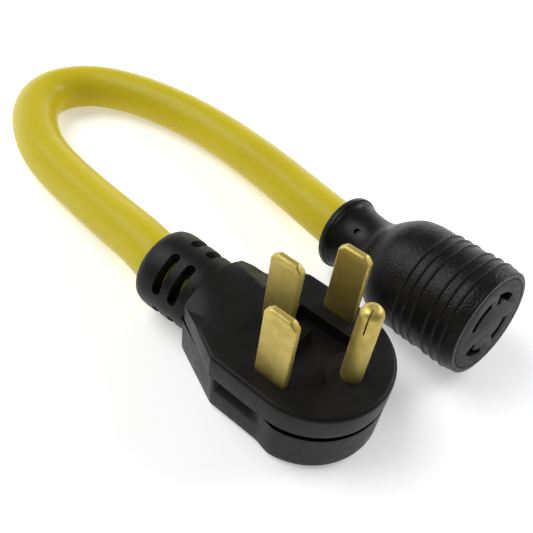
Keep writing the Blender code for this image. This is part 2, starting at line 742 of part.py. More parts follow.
def connector_profile():
    """Closed outline of the connector overmold: outside from face to tail, then back up the inside."""
    outside = [(BODY_RADIUS - FACE_STEP - FACE_EDGE, 0.0), (BODY_RADIUS - FACE_STEP, -FACE_EDGE)]
    for at in RIB_AT:
        outside += rib_points(at)
    outside += [(r, -a) for r, a in BULB_PROFILE]
    outside.append((BORE_RADIUS + 1.6 * MM, -TAIL_END))
    inside = [
        (BORE_RADIUS, -(TAIL_END - 1.2 * MM)),
        (BORE_RADIUS, -JACKET_END),
        (WIRING_RADIUS, -WIRING_SPAN[1]),
        (WIRING_RADIUS, -WIRING_SPAN[0]),
        (CARRIER_RADIUS + GAP, -WIRING_SPAN[0]),
        (CARRIER_RADIUS + GAP, -(DISC_THICK + GAP)),
        (DISC_RADIUS + GAP, -(DISC_THICK + GAP)),
        (DISC_RADIUS + GAP, 0.0),
    ]
    return outside + inside


def make_connector_overmold(mat, connector):
    body = link_mesh("connector_overmold", revolve(connector_profile()), mat)
    dimple = disc_stack([(DIMPLE_RADIUS, DIMPLE_FLOOR), (DIMPLE_RADIUS, 13.0 * MM)], 16)
    spin = Matrix.Rotation(DIMPLE_TURN, 4, "Z") @ Matrix.Rotation(math.radians(-90), 4, "X")
    dimple.transform(Matrix.Translation((0.0, 0.0, -DIMPLE_AT)) @ spin)
    cut(body, dimple)
    body.parent = connector
    smooth(body, 28)
    return body


def arc_outline(start, end, inner, outer, hook=0, grow=0.0):
    """Outline of a curved slot between two angles; hook adds a short inward leg at one end."""
    inner -= grow
    outer += grow
    middle = (inner + outer) / 2.0
    start -= math.degrees(grow / middle)
    end += math.degrees(grow / middle)
    leg = math.degrees(2.4 * MM / middle)
    deep = inner - 1.5 * MM
    outline = []
    steps = 8
    for k in range(steps + 1):
        turn = math.radians(start + (end - start) * k / steps)
        outline.append((outer * math.cos(turn), outer * math.sin(turn)))
    inner_turns = [end + (start - end) * k / steps for k in range(steps + 1)]
    if hook > 0:
        inner_turns = [t for t in inner_turns if t < end - leg - 1.0]
        outline += [(deep * math.cos(math.radians(t)), deep * math.sin(math.radians(t)))
                    for t in (end, end - leg)]
        inner_turns.insert(0, end - leg)
    if hook < 0:
        inner_turns = [t for t in inner_turns if t > start + leg + 1.0]
        inner_turns.append(start + leg)
    for t in inner_turns:
        outline.append((inner * math.cos(math.radians(t)), inner * math.sin(math.radians(t))))
    if hook < 0:
        outline += [(deep * math.cos(math.radians(t)), deep * math.sin(math.radians(t)))
                    for t in (start + leg, start)]
    return outline


def make_connector_face(mat, connector):
    levels = [(DISC_RADIUS, -DISC_THICK), (DISC_RADIUS, -0.3 * MM), (DISC_RADIUS - 0.3 * MM, 0.0)]
    face = link_mesh("connector_face", disc_stack(levels), mat)
    for _, start, end, inner, outer, hook in SLOT_ARCS:
        outline = arc_outline(start, end, inner, outer, hook)
        cut(face, prism(outline, -8 * MM, 2 * MM))
    face.parent = connector
    smooth(face)
    return face


def make_contact_carrier(mat, connector):
    front, back = CARRIER_SPAN
    levels = [(CARRIER_RADIUS, -back), (CARRIER_RADIUS, -front)]
    carrier = link_mesh("contact_carrier", disc_stack(levels), mat)
    for _, start, end, inner, outer, _ in SLOT_ARCS:
        outline = arc_outline(start, end, inner, outer, 0, 2 * GAP)
        cut(carrier, prism(outline, -30 * MM, 0.0))
    carrier.parent = connector
    smooth(carrier)
    return carrier


def make_contact(name, start, end, inner, mat, connector):
    """Curved brass spring leaf behind one slot of the face."""
    low = inner - 0.3 * MM
    outline = arc_outline(start + 2.0, end - 2.0, low, low + CONTACT_THICK)
    contact = link_mesh(name, prism(outline, -CONTACT_SPAN[1], -CONTACT_SPAN[0]), mat, connector)
    smooth(contact)
    return contact


def connector_lead_route(start, end, inner, corner):
    """From the tail of a contact to one corner of the bundle at the jacket's end."""
    turn = math.radians((start + end) / 2.0)
    r = inner + 0.4 * MM
    s = LEAD_SPREAD
    cx, cy = corner[0] * s, corner[1] * s
    a = Vector((r * math.cos(turn), r * math.sin(turn), -(CONTACT_SPAN[1] + 2 * GAP)))
    d = Vector((cx, cy, -(JACKET_END - LEAD_BACK)))
    b = Vector((a.x * 0.94, a.y * 0.94, a.z - 2.4 * MM))
    c = Vector((cx * 1.08 + 0.05 * a.x, cy * 1.08 + 0.05 * a.y, d.z + 2.6 * MM))
    return [a, b, c, d]


def make_connector(mats, connector):
    make_connector_overmold(mats["pvc"], connector)
    make_connector_face(mats["nylon"], connector)
    make_contact_carrier(mats["nylon"], connector)
    corners = {"x": (1, 1), "y": (-1, 1), "w": (-1, -1), "g": (1, -1)}
    colours = {"x": "black", "y": "red", "w": "white", "g": "green"}
    for key, start, end, inner, _, _ in SLOT_ARCS:
        make_contact("contact_" + key, start, end, inner, mats["brass"], connector)
        route = connector_lead_route(start, end, inner, corners[key])
        colour = colours[key]
        tube("connector_lead_" + colour, smooth_path(route, 8), LEAD_RADIUS, mats[colour], connector, 2)


def make_cable(mat, plug, connector):
    """The yellow jacket, from inside the plug's strain relief to inside the connector's neck."""
    bpy.context.view_layer.update()
    first = [plug.matrix_world @ Vector((x * MM, 0.0, NECK_Z)) for x in (-34.0, -44.5, -55.2)]
    last = [connector.matrix_world @ Vector((0.0, 0.0, -a * MM)) for a in (59.5, 48.8, 38.0)]
    route = first + [Vector(p) for p in CABLE_ROUTE] + last
    tube("cable_jacket", smooth_path(route, CABLE_STEPS), CABLE_RADIUS, mat)


def main():
    clear_scene()
    mats = {
        "pvc": make_material("black_pvc", (0.018, 0.018, 0.019), 0.45),
        "nylon": make_material("black_nylon", (0.03, 0.03, 0.032), 0.55),
        "brass": make_material("brass", (0.62, 0.48, 0.20), 0.32, 1.0),
        "copper": make_material("tinned_copper", (0.72, 0.70, 0.66), 0.35, 1.0),
        "jacket": make_material("yellow_pvc", (0.60, 0.47, 0.02), 0.35),
        "black": make_material("black_insulation", (0.02, 0.02, 0.02), 0.5),
        "red": make_material("red_insulation", (0.45, 0.02, 0.015), 0.5),
        "white": make_material("white_insulation", (0.75, 0.75, 0.72), 0.5),
        "green": make_material("green_insulation", (0.02, 0.25, 0.05), 0.5),
    }
    plug = make_empty("plug", PLUG_AT)
    turn = (math.radians(90) - CONNECTOR_PITCH, 0.0, math.radians(90) + CONNECTOR_YAW)
    connector = make_empty("connector", CONNECTOR_AT, turn)
    make_plug(mats, plug)
    make_connector(mats, connector)
    make_cable(mats["jacket"], plug, connector)
    bpy.context.view_layer.update()


main()
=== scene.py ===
import json
import math

import bmesh
import bpy
from mathutils import Matrix, Vector


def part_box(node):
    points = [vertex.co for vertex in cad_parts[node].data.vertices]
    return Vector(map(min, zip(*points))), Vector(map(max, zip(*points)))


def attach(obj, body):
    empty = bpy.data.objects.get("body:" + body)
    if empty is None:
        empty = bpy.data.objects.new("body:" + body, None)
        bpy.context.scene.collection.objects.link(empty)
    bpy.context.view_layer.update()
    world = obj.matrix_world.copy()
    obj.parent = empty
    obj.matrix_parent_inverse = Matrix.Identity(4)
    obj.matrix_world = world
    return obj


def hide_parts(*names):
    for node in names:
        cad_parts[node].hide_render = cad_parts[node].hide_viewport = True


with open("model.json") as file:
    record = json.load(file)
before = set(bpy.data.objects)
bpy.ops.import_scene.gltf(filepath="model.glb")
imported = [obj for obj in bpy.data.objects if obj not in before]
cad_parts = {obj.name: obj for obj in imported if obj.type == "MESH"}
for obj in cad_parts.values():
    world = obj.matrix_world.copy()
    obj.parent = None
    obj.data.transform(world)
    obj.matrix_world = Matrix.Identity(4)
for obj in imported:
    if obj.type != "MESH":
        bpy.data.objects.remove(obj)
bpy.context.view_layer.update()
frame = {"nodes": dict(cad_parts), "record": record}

BODY = "root"
MM = 0.001
MOUNTS = {mount["name"]: mount for mount in frame["record"]["mounts"]}

# ---- plug, in its own frame: origin on the face midway between the hot blades, +X to the ground pin ----
PLUG_HEIGHT = 23.9 * MM
PLUG_RADIUS = 22.0 * MM
PLUG_FRONT = 25.6 * MM
SHOULDER_X = -15.2 * MM
PLUG_BACK = -34.0 * MM
PLUG_BACK_HALF = 13.3 * MM
UPPER_BACK = 0.8 * MM
LOWER_BACK = 1.2 * MM
FACE_RIM = 1.3 * MM
BASE_RIM = 2.2 * MM
GROOVE_TOP = -8.1 * MM
GROOVE_BOTTOM = -9.6 * MM
GROOVE_DEPTH = 1.5 * MM
GROOVE_LIP = 0.25 * MM
LOWER_INSET = 0.1 * MM
WAIST_DEPTH = 1.2 * MM
WAIST_FADE = (1.5 * MM, 8.0 * MM)
GRIP_BACK = -14.4 * MM
GRIP_FRONT = (-2.0 * MM, 3.0 * MM)
GRIP_RAMP = 1.2 * MM
GRIP_DEPTH = 2.4 * MM
GRIP_FLOOR = -11.2 * MM
GRIP_END = -15.8 * MM
SLOPE_X = -23.2 * MM
BACK_TOP = 2.15 * MM
BACK_ARC = 21.8 * MM
FAR_RIDGE = (7.4 * MM, 10.1 * MM)
RIDGE_ROUND = 0.9 * MM
FAR_FALL = 0.5
FAR_FRONT = -18.5 * MM
RECESS_X = (-9.5 * MM, 11.5 * MM)
RECESS_HALF = 10.0 * MM
RECESS_DEPTH = 4.2 * MM
PAD_X = -1.64 * MM
PAD_HALF = 4.5 * MM
BOSS_RADIUS = 7.2 * MM

# ---- strain relief: (x, radius) along the neck; (x, width, floor radius) of each ring of slots ----
NECK_Z = -10.0 * MM
TAIL_X = -55.2 * MM
NECK_PROFILE = [
    (-20.0 * MM, 8.6 * MM),
    (-28.0 * MM, 10.2 * MM),
    (-34.0 * MM, 12.15 * MM),
    (-37.0 * MM, 12.5 * MM),
    (-50.3 * MM, 13.05 * MM),
    (-52.6 * MM, 12.9 * MM),
    (-54.2 * MM, 12.4 * MM),
    (-55.0 * MM, 11.7 * MM),
    (TAIL_X, 11.1 * MM),
]
RELIEF_RINGS = [(-46.0 * MM, 3.0 * MM, 7.0 * MM), (-39.8 * MM, 3.2 * MM, 9.6 * MM)]
RELIEF_SLOT_ARC = math.radians(65)

# ---- prongs ----
HOT_Y = 15.4 * MM
NEUTRAL_X = -10.4 * MM
BLADE_WIDTH = 9.9 * MM
BLADE_THICK = 2.45 * MM
BLADE_TOP = 24.4 * MM
BLADE_CHAMFER = 1.8 * MM
BLADE_EDGE = 0.4 * MM
BLADE_ROOT = -12.0 * MM
PIN_X = 14.8 * MM
PIN_RADIUS = 3.1 * MM
PIN_TOP = 26.4 * MM
PIN_NOSE = 2.6 * MM
PIN_NOSE_INSET = 2.3 * MM
PIN_SLIT = 0.4 * MM
PIN_SLIT_LENGTH = 7.0 * MM
PIN_SLIT_TURN = math.radians(12)
SNUG = 0.06 * MM                           # play between a hole and what it holds

# ---- cable: centreline between the two ends, and how deep it reaches into each ----
CABLE_RADIUS = 8.5 * MM
CABLE_STEPS = 150
CABLE_IN_PLUG = (-34.0 * MM, -44.5 * MM, TAIL_X)
CABLE_ROUTE = [
    (-59.2 * MM, -20.8 * MM, 13.2 * MM),
    (-79.0 * MM, -17.8 * MM, 11.0 * MM),
    (-93.3 * MM, -15.6 * MM, 9.6 * MM),
    (-108.5 * MM, -13.3 * MM, 8.8 * MM),
    (-122.9 * MM, -10.1 * MM, 8.7 * MM),
    (-135.5 * MM, -4.7 * MM, 8.7 * MM),
    (-146.9 * MM, 3.2 * MM, 8.7 * MM),
    (-153.9 * MM, 12.7 * MM, 8.7 * MM),
    (-154.7 * MM, 22.7 * MM, 8.7 * MM),
    (-149.9 * MM, 32.5 * MM, 8.7 * MM),
    (-140.5 * MM, 39.6 * MM, 8.7 * MM),
    (-127.9 * MM, 44.6 * MM, 8.7 * MM),
    (-114.5 * MM, 47.5 * MM, 8.7 * MM),
    (-100.3 * MM, 48.7 * MM, 8.8 * MM),
    (-85.5 * MM, 48.2 * MM, 9.2 * MM),
    (-70.8 * MM, 46.3 * MM, 9.8 * MM),
    (-56.4 * MM, 43.4 * MM, 10.7 * MM),
    (-42.6 * MM, 39.9 * MM, 11.7 * MM),
    (-29.3 * MM, 36.1 * MM, 12.9 * MM),
]
CABLE_IN_CONNECTOR = (59.5 * MM, 48.8 * MM, 38.0 * MM)

# ---- connector, in its own frame: radius against distance behind the face ----
BODY_RADIUS = 17.8 * MM
FACE_EDGE = 0.5 * MM
FACE_STEP = 0.35 * MM
FACE_STEP_AT = (1.6 * MM, 2.4 * MM)
RIB_HEIGHT = 0.45 * MM
RIB_HALF = 0.5 * MM
RIB_AT = [4.6 * MM, 7.6 * MM, 10.7 * MM, 15.8 * MM, 18.8 * MM, 21.8 * MM]
BULB_PROFILE = [
    (17.8 * MM, 23.2 * MM),
    (17.9 * MM, 24.8 * MM),
    (18.0 * MM, 26.5 * MM),
    (17.95 * MM, 29.0 * MM),
    (17.6 * MM, 32.0 * MM),
    (16.9 * MM, 34.2 * MM),
    (15.8 * MM, 36.2 * MM),
    (14.5 * MM, 38.2 * MM),
    (12.9 * MM, 40.2 * MM),
    (11.6 * MM, 42.0 * MM),
    (10.9 * MM, 44.0 * MM),
    (10.6 * MM, 46.5 * MM),
    (10.7 * MM, 49.0 * MM),
    (11.1 * MM, 52.0 * MM),
    (11.6 * MM, 54.0 * MM),
    (12.1 * MM, 55.3 * MM),
]
FLANGE_PROFILE = [
    (12.3 * MM, 55.5 * MM),
    (12.5 * MM, 56.7 * MM),
    (13.0 * MM, 57.0 * MM),
    (13.1 * MM, 58.2 * MM),
    (12.7 * MM, 59.1 * MM),
    (11.7 * MM, 59.5 * MM),
]
TAIL_END = 59.5 * MM
DISC_RADIUS = 15.6 * MM
DISC_THICK = 5.7 * MM
# each slot: start and end in degrees, inner and outer radius, and the end that carries a hook
SLOT_ARCS = [
    (38, 86, 8.6 * MM, 11.2 * MM, 1),
    (105, 167, 7.9 * MM, 10.3 * MM, 0),
    (216, 267, 9.0 * MM, 11.4 * MM, -1),
    (298, 347, 7.9 * MM, 10.3 * MM, 0),
]
DIMPLE_AT = 48.9 * MM
DIMPLE_TURN = math.radians(36)
DIMPLE_RADIUS = 1.1 * MM
DIMPLE_FLOOR = 9.7 * MM

# ---- looks: linear colours ----
SHEEN = 0.15
# reflection strength of the painted shade in the plug's parting groove
PAINTED_SHADE_SHEEN = 0.02
SMOOTH_BLACK = (0.0072, 0.0072, 0.0070)
GRAINED_BLACK = (0.0072, 0.0072, 0.0072)
NYLON_BLACK = (0.014, 0.014, 0.014)
# colour of the painted shade in the plug's parting groove
PAINTED_SHADE_BLACK = (0.0015, 0.0015, 0.0015)
BRASS_BRIGHT = (0.60, 0.48, 0.14)
BRASS_DARK = (0.44, 0.34, 0.08)
YELLOW_DEEP = (0.56, 0.455, 0.014)
YELLOW_PALE = (0.61, 0.50, 0.020)
YELLOW_DUST = (0.40, 0.33, 0.03)
GRAIN_END = -39.0 * MM
WHITE = (1.0, 1.0, 1.0)

# ---- camera ----
CAMERA_AT = Vector((59.35 * MM, -126.29 * MM, 162.68 * MM))
CAMERA_AIM = Vector((-17.48 * MM, -8.93 * MM, 23.9 * MM))
CAMERA_ROLL = math.radians(9.19)
CAMERA_LENS = 44.52


# ---------------------------------------------------------------- frames of the two ends

def plug_frame():
    low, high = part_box("plug_overmold")
    return Matrix.Translation((high[0] - PLUG_FRONT, (low[1] + high[1]) / 2, PLUG_HEIGHT))


def connector_frame():
    mount = MOUNTS["connector_front"]
    out = Vector(mount["axis"]).normalized()
    side = Vector((0.0, 0.0, 1.0)).cross(out).normalized()
    rows = Matrix((side, out.cross(side), out)).transposed()
    return Matrix.Translation(mount["pos_m"]) @ rows.to_4x4()


# ---------------------------------------------------------------- mesh helpers

def link_mesh(name, bm):
    bmesh.ops.recalc_face_normals(bm, faces=bm.faces)
    mesh = bpy.data.meshes.new(name)
    bm.to_mesh(mesh)
    bm.free()
    obj = bpy.data.objects.new(name, mesh)
    bpy.context.scene.collection.objects.link(obj)
    return obj


def loft(rings):
    """Closed solid through rings of equal length, capped at both ends."""
    bm = bmesh.new()
    rows = [[bm.verts.new(point) for point in ring] for ring in rings]
    count = len(rows[0])
    for low, high in zip(rows, rows[1:]):
        for i in range(count):
            j = (i + 1) % count
            bm.faces.new((low[i], low[j], high[j], high[i]))
    bm.faces.new(list(reversed(rows[0])))
    bm.faces.new(rows[-1])
    return bm


def revolve(profile, steps):
    """Solid of revolution about Z from a closed outline of (radius, z) points clear of the axis."""
    bm = bmesh.new()
    rows = []
    for k in range(steps):
        turn = 2.0 * math.pi * k / steps
        rows.append([bm.verts.new((r * math.cos(turn), r * math.sin(turn), z)) for r, z in profile])
    count = len(profile)
    for k in range(steps):
        here = rows[k]
        after = rows[(k + 1) % steps]
        for i in range(count):
            j = (i + 1) % count
            bm.faces.new((here[i], after[i], after[j], here[j]))
    return bm


def disc_stack(levels, steps):
    """Round solid about Z through (radius, z) levels, capped at both ends."""
    rings = []
    for r, z in levels:
        turns = [2.0 * math.pi * k / steps for k in range(steps)]
        rings.append([(r * math.cos(t), r * math.sin(t), z) for t in turns])
    return loft(rings)


def prism(outline, z_low, z_high):
    return loft([[(x, y, z) for x, y in outline] for z in (z_low, z_high)])


def apply_boolean(target, cutter, operation="DIFFERENCE"):
    modifier = target.modifiers.new("bool", "BOOLEAN")
    modifier.operation = operation
    modifier.solver = "EXACT"
    modifier.object = cutter
    bake_modifiers(target)
    bpy.data.objects.remove(cutter, do_unlink=True)


def bake_modifiers(obj):
    """Replace the object's mesh by what its modifiers make of it."""
    bpy.context.view_layer.update()
    depsgraph = bpy.context.evaluated_depsgraph_get()
    result = bpy.data.meshes.new_from_object(obj.evaluated_get(depsgraph))
    obj.modifiers.clear()
    old = obj.data
    obj.data = result
    bpy.data.meshes.remove(old)
    result.name = obj.name


def cut(target, bm):
    apply_boolean(target, link_mesh("cutter", bm))


def drop_slivers(obj):
    """Triangulate, then remove the pairs of needle faces lying back to back that the Booleans leave."""
    bm = bmesh.new()
    bm.from_mesh(obj.data)
    bmesh.ops.remove_doubles(bm, verts=bm.verts, dist=0.001 * MM)
    bmesh.ops.triangulate(bm, faces=bm.faces)
    bm.verts.index_update()
    same = {}
    for face in bm.faces:
        same.setdefault(frozenset(vert.index for vert in face.verts), []).append(face)
    pairs = [face for faces in same.values() if len(faces) > 1 for face in faces]
    bmesh.ops.delete(bm, geom=pairs, context="FACES")
    bm.to_mesh(obj.data)
    bm.free()


def soften_edges(obj, width, segments=2, angle=32.0):
    """Round every edge sharper than angle."""
    modifier = obj.modifiers.new("bevel", "BEVEL")
    modifier.width = width
    modifier.segments = segments
    modifier.limit_method = "ANGLE"
    modifier.angle_limit = math.radians(angle)
    modifier.miter_outer = "MITER_ARC"
    modifier.harden_normals = False
    bake_modifiers(obj)


def shade(obj, angle=35.0):
    for face in obj.data.polygons:
        face.use_smooth = True
    obj.data.set_sharp_from_angle(angle=math.radians(angle))


def place(obj, matrix, material, slot, *nodes):
    """Put a finished piece in its frame, with its material, in place of the CAD nodes it stands for."""
    obj.matrix_world = matrix
    obj.data.materials.clear()
    obj.data.materials.append(material)
    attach(obj, BODY)
    if nodes:
        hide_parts(*nodes)
    return obj


def smooth_path(points, steps):
    """Evenly spaced points on a Catmull-Rom curve through the given points."""
    pts = [Vector(p) for p in points]
    pts = [2 * pts[0] - pts[1]] + pts + [2 * pts[-1] - pts[-2]]
    fine = []
    for i in range(1, len(pts) - 2):
        p0, p1, p2, p3 = pts[i - 1:i + 3]
        for k in range(20):
            t = k / 20.0
            fine.append(0.5 * ((2 * p1) + (p2 - p0) * t + (2 * p0 - 5 * p1 + 4 * p2 - p3) * t * t
                               + (3 * p1 - p0 - 3 * p2 + p3) * t ** 3))
    fine.append(pts[-2])
    lengths = [0.0]
    for a, b in zip(fine, fine[1:]):
        lengths.append(lengths[-1] + (b - a).length)
    even = []
    j = 0
    for k in range(steps + 1):
        want = lengths[-1] * k / steps
        while j < len(fine) - 2 and lengths[j + 1] < want:
            j += 1
        span = lengths[j + 1] - lengths[j]
        even.append(fine[j].lerp(fine[j + 1], (want - lengths[j]) / span))
    return even, lengths[-1]


def inset_corners(corners, amount):
    """Corners of a counter-clockwise convex outline after every edge moves in by amount."""
    moved = []
    count = len(corners)
    for i in range(count):
        here = Vector(corners[i])
        back = (here - Vector(corners[i - 1])).normalized()
        ahead = (Vector(corners[(i + 1) % count]) - here).normalized()
        n_back = Vector((-back.y, back.x))
        n_ahead = Vector((-ahead.y, ahead.x))
        moved.append(here + (n_back + n_ahead) * (amount / (1.0 + n_back.dot(n_ahead))))
    return moved


def round_corner(corner, before, after, radius, steps):
    """Points of the arc of the given radius tangent to both edges at a corner."""
    to_back = (before - corner).normalized()
    to_ahead = (after - corner).normalized()
    half = math.acos(max(-1.0, min(1.0, to_back.dot(to_ahead)))) / 2.0
    reach = radius / math.tan(half)
    centre = corner + (to_back + to_ahead).normalized() * (radius / math.sin(half))
    first = corner + to_back * reach - centre
    sweep = math.pi - 2.0 * half
    points = []
    for k in range(steps + 1):
        turn = sweep * k / steps
        c, s = math.cos(turn), math.sin(turn)
        points.append(centre + Vector((first.x * c - first.y * s, first.x * s + first.y * c)))
    return points


def rectangle(x, y, half_x, half_y):
    return [(x - half_x, y - half_y), (x + half_x, y - half_y),
            (x + half_x, y + half_y), (x - half_x, y + half_y)]


# ---------------------------------------------------------------- material helpers

def add_node(tree, kind, inputs=None, **settings):
    node = tree.nodes.new("ShaderNode" + kind)
    for name, value in settings.items():
        setattr(node, name, value)
    for name, value in (inputs or {}).items():
        if isinstance(value, bpy.types.NodeSocket):
            tree.links.new(value, node.inputs[name])
        else:
            node.inputs[name].default_value = value
    return node


def start_material(name, **values):
    """A Principled material, its node tree, its shader and its object coordinates."""
    mat = bpy.data.materials.new(name)
    mat.use_nodes = True
    tree = mat.node_tree
    shader = tree.nodes["Principled BSDF"]
    for socket, value in values.items():
        shader.inputs[socket.replace("_", " ")].default_value = value
    coords = add_node(tree, "TexCoord").outputs["Object"]
    return mat, tree, shader, coords


def noise(tree, coords, scale, detail=3.0, rough=0.5):
    inputs = {"Vector": coords, "Scale": scale, "Detail": detail, "Roughness": rough}
    return add_node(tree, "TexNoise", inputs).outputs["Fac"]


def spread(tree, value, low, high, from_low=0.3, from_high=0.7):
    """Map value from one range onto another; the default range is that of a noise."""
    inputs = {"Value": value, "From Min": from_low, "From Max": from_high, "To Min": low, "To Max": high}
    return add_node(tree, "MapRange", inputs).outputs["Result"]


def blend_colours(tree, factor, first, second):
    mix = add_node(tree, "Mix", data_type="RGBA")
    tree.links.new(factor, mix.inputs[0])
    for socket, colour in ((mix.inputs[6], first), (mix.inputs[7], second)):
        if isinstance(colour, bpy.types.NodeSocket):
            tree.links.new(colour, socket)
        else:
            socket.default_value = (*colour, 1.0)
    return mix.outputs[2]


def add_bump(tree, height, distance, strength=1.0, under=None):
    inputs = {"Height": height, "Distance": distance, "Strength": strength}
    if under:
        inputs["Normal"] = under
    return add_node(tree, "Bump", inputs).outputs["Normal"]


def multiply(tree, first, second):
    return add_node(tree, "Math", {0: first, 1: second}, operation="MULTIPLY").outputs[0]


def stretch(tree, coords, scale):
    return add_node(tree, "Mapping", {"Vector": coords, "Scale": scale}).outputs["Vector"]


# ---------------------------------------------------------------- materials

def groove_shade_mask(tree, coords):
    """1 inside the plug's parting groove, where shade is painted into the colour, 0 elsewhere."""
    axes = add_node(tree, "SeparateXYZ", {"Vector": coords}).outputs
    under = spread(tree, axes["Z"], 0.0, 1.0, GROOVE_TOP + 0.3 * MM, GROOVE_TOP)
    over = spread(tree, axes["Z"], 0.0, 1.0, GROOVE_BOTTOM - 0.5 * MM, GROOVE_BOTTOM - 0.2 * MM)
    ahead = spread(tree, axes["X"], 0.0, 1.0, PLUG_BACK - LOWER_BACK - 0.1 * MM, PLUG_BACK - LOWER_BACK)
    return multiply(tree, multiply(tree, under, over), ahead)


def pebble_dome(tree, coords, size, grain_end):
    """Height of a leather-like grain of rounded cells, fading out behind grain_end where one is given."""
    warp = add_node(tree, "TexNoise", {"Vector": coords, "Scale": 700.0}).outputs["Color"]
    warped = add_node(tree, "Mix", data_type="VECTOR")
    warped.inputs[0].default_value = 0.0006
    tree.links.new(coords, warped.inputs[4])
    tree.links.new(warp, warped.inputs[5])
    cells = add_node(tree, "TexVoronoi", {"Vector": warped.outputs[1], "Scale": 1.0 / size},
                     feature="SMOOTH_F1")
    dome = spread(tree, cells.outputs["Distance"], 1.0, 0.0, 0.1, 0.75)
    if grain_end is None:
        return dome
    along = add_node(tree, "SeparateXYZ", {"Vector": coords}).outputs["Z"]
    grained = spread(tree, along, 0.0, 1.0, grain_end - 3.0 * MM, grain_end)
    return multiply(tree, dome, grained)


def moulded_pvc(name, colour, roughness, pebble_depth=0.0, pebble_size=0.0, grain_end=None, paint_groove_shade=False):
    """Black flexible PVC: a fine sparkle from the mould and, where asked, a pebbled grain or painted shade
    in the parting groove.
    """
    mat, tree, shader, coords = start_material(name)
    blotch = noise(tree, coords, 90.0, 4.0)
    worn = tuple(c * 1.5 + 0.001 for c in colour)
    base = blend_colours(tree, spread(tree, blotch, 0.0, 1.0), colour, worn)
    shader.inputs["Specular IOR Level"].default_value = SHEEN
    if paint_groove_shade:
        # Painted shade: the parting groove is darkened towards near-black and its reflection turned down.
        mask = groove_shade_mask(tree, coords)
        base = blend_colours(tree, mask, base, PAINTED_SHADE_BLACK)
        tree.links.new(spread(tree, mask, SHEEN, PAINTED_SHADE_SHEEN, 0.0, 1.0), shader.inputs["Specular IOR Level"])
    tree.links.new(base, shader.inputs["Base Color"])
    sheen = noise(tree, coords, 420.0, 3.0)
    tree.links.new(spread(tree, sheen, roughness - 0.05, roughness + 0.07), shader.inputs["Roughness"])
    fine = noise(tree, coords, 3800.0, 2.0, 0.6)
    normal = add_bump(tree, fine, 0.03 * MM, 0.5)
    if pebble_depth:
        dome = pebble_dome(tree, coords, pebble_size, grain_end)
        normal = add_bump(tree, dome, pebble_depth, 1.0, normal)
    tree.links.new(normal, shader.inputs["Normal"])
    return mat


def brass(name, tarnish=0.5):
    """Stamped brass: brushed along its length, with a mottled tarnish."""
    mat, tree, shader, coords = start_material(name, Metallic=0.92)
    mottle = noise(tree, coords, 330.0, 5.0, 0.6)
    amount = spread(tree, mottle, 0.0, tarnish, 0.4, 0.65)
    tree.links.new(blend_colours(tree, amount, BRASS_BRIGHT, BRASS_DARK), shader.inputs["Base Color"])
    lines = noise(tree, stretch(tree, coords, (1.0, 1.0, 0.06)), 3000.0, 2.0)
    tree.links.new(spread(tree, mottle, 0.40, 0.58), shader.inputs["Roughness"])
    normal = add_bump(tree, lines, 0.02 * MM, 0.5)
    normal = add_bump(tree, noise(tree, coords, 500.0, 2.0), 0.08 * MM, 0.35, normal)
    tree.links.new(normal, shader.inputs["Normal"])
    return mat


def yellow_jacket():
    """Glossy yellow PVC over twisted cores, which just show as a slow unevenness."""
    mat, tree, shader, coords = start_material("yellow_pvc")
    cloud = noise(tree, coords, 35.0, 3.0)
    colour = blend_colours(tree, spread(tree, cloud, 0.0, 1.0), YELLOW_DEEP, YELLOW_PALE)
    speck = noise(tree, coords, 1500.0, 2.0, 0.7)
    dust = spread(tree, speck, 0.0, 0.35, 0.62, 0.72)
    tree.links.new(blend_colours(tree, dust, colour, YELLOW_DUST), shader.inputs["Base Color"])
    shader.inputs["Specular IOR Level"].default_value = 0.16
    rub = noise(tree, coords, 260.0, 4.0)
    tree.links.new(spread(tree, rub, 0.26, 0.38), shader.inputs["Roughness"])
    slow = add_bump(tree, noise(tree, coords, 55.0, 1.0), 0.9 * MM, 0.25)
    normal = add_bump(tree, noise(tree, coords, 2400.0, 2.0), 0.02 * MM, 0.4, slow)
    tree.links.new(normal, shader.inputs["Normal"])
    return mat


def insulation(name, colour):
    mat, tree, shader, coords = start_material(name)
    cloud = noise(tree, coords, 220.0, 3.0)
    darker = tuple(c * 0.75 for c in colour)
    base = blend_colours(tree, spread(tree, cloud, 0.0, 1.0), colour, darker)
    tree.links.new(base, shader.inputs["Base Color"])
    tree.links.new(spread(tree, cloud, 0.35, 0.5), shader.inputs["Roughness"])
    return mat


def tinned_copper():
    mat, tree, shader, coords = start_material("tinned_copper", Metallic=1.0)
    cloud = noise(tree, coords, 400.0, 4.0)
    colour = blend_colours(tree, spread(tree, cloud, 0.0, 1.0), (0.74, 0.72, 0.68), (0.58, 0.55, 0.50))
    tree.links.new(colour, shader.inputs["Base Color"])
    tree.links.new(spread(tree, cloud, 0.28, 0.45), shader.inputs["Roughness"])
    return mat


def floor_material():
    mat, _, shader, _ = start_material("studio_floor", Roughness=0.9)
    shader.inputs["Base Color"].default_value = (0.93, 0.93, 0.93, 1.0)
    shader.inputs["Specular IOR Level"].default_value = 0.1
    shader.inputs["Emission Color"].default_value = (*WHITE, 1.0)
    shader.inputs["Emission Strength"].default_value = 0.36
    return mat


def make_world():
    """White studio: bright low down on the left and at the back, dim overhead and on the right in front."""
    world = bpy.data.worlds.new("studio")
    world.use_nodes = True
    tree = world.node_tree
    background = tree.nodes["Background"]
    background.inputs["Color"].default_value = (*WHITE, 1.0)
    look = add_node(tree, "TexCoord").outputs["Generated"]
    left_and_back = (-0.75, 0.66, 0.0)
    away = add_node(tree, "VectorMath", {0: look, 1: left_and_back}, operation="DOT_PRODUCT")
    height = add_node(tree, "SeparateXYZ", {"Vector": look}).outputs["Z"]
    side = spread(tree, away.outputs["Value"], 0.0, 2.0, -0.3, 0.9)
    low = spread(tree, height, 1.0, 0.0, 0.05, 0.5)
    glow = add_node(tree, "Math", {0: multiply(tree, side, low), 1: 0.13}, operation="ADD").outputs[0]
    tree.links.new(glow, background.inputs["Strength"])
    bpy.context.scene.world = world


# ---------------------------------------------------------------- stage

